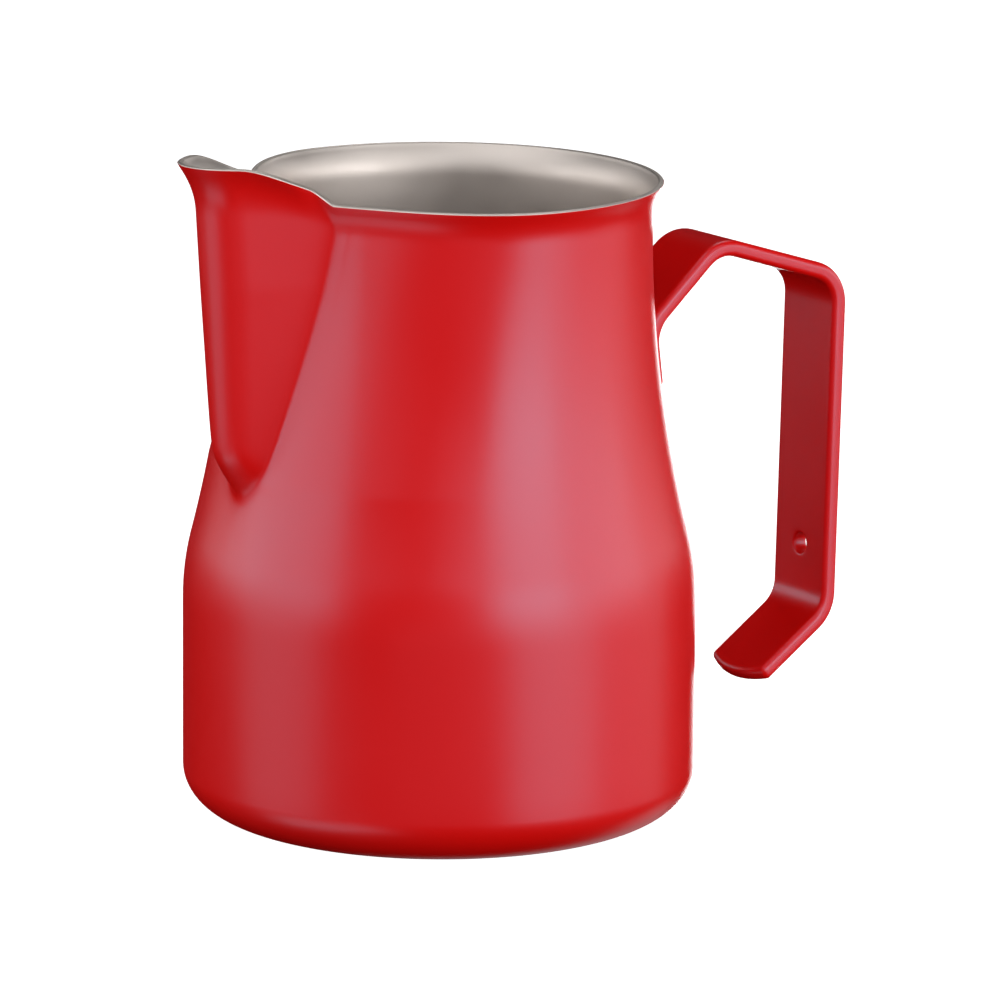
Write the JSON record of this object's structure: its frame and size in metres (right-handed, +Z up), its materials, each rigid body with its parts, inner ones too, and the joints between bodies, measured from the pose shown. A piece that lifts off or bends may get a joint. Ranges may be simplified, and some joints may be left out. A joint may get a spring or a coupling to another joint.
{
  "type": "milk frothing pitcher",
  "caption": "Steel milk frothing pitcher with a wide belly, narrow neck, flared lip, long pressed pouring spout, coloured outer coat and an open flat strap handle with a hanging hole.",
  "frame": {"origin": "centre of the flat base on the vessel's axis, at the height of the surface it stands on", "axes": "+Z up along the vessel's axis, +X towards the handle, -X towards the spout, XZ is the mirror plane"},
  "size_m": [0.132, 0.0882, 0.1171],
  "materials": {
    "bare_steel": "satin stainless steel sheet, bare inside the vessel, on the lip's edge and under the base",
    "red_coating": "thin satin red coat on steel"
  },
  "bodies": {
    "root": {"pitcher_body": "bare_steel", "body_coating": "red_coating", "handle_strap": "red_coating", "weld_nugget_left": "bare_steel", "weld_nugget_right": "bare_steel"}
  },
  "joints": []
}
